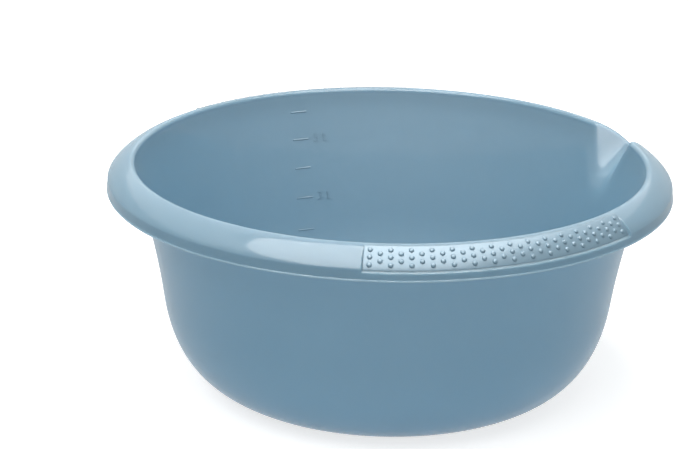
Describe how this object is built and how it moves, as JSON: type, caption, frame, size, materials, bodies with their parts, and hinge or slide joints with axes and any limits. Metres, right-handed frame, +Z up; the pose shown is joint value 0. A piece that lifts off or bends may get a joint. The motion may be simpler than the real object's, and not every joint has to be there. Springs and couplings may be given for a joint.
{
  "type": "plastic basin",
  "caption": "Round plastic washing-up basin with a rolled rim, a V-shaped pouring spout and studded grip strips in the rim.",
  "frame": {"origin": "centre of the foot ring, on the surface that the basin stands on", "axes": "+Z up, +X from the centre out through the pouring spout, grip strips at -Y and +Y"},
  "size_m": [0.32, 0.32, 0.1322],
  "materials": {
    "basin_plastic": "glossy moulded polypropylene",
    "grip_plastic": "satin moulded polypropylene"
  },
  "bodies": {
    "root": {"basin": "basin_plastic", "grip_pad_front": "grip_plastic", "grip_pad_back": "grip_plastic"}
  },
  "joints": []
}
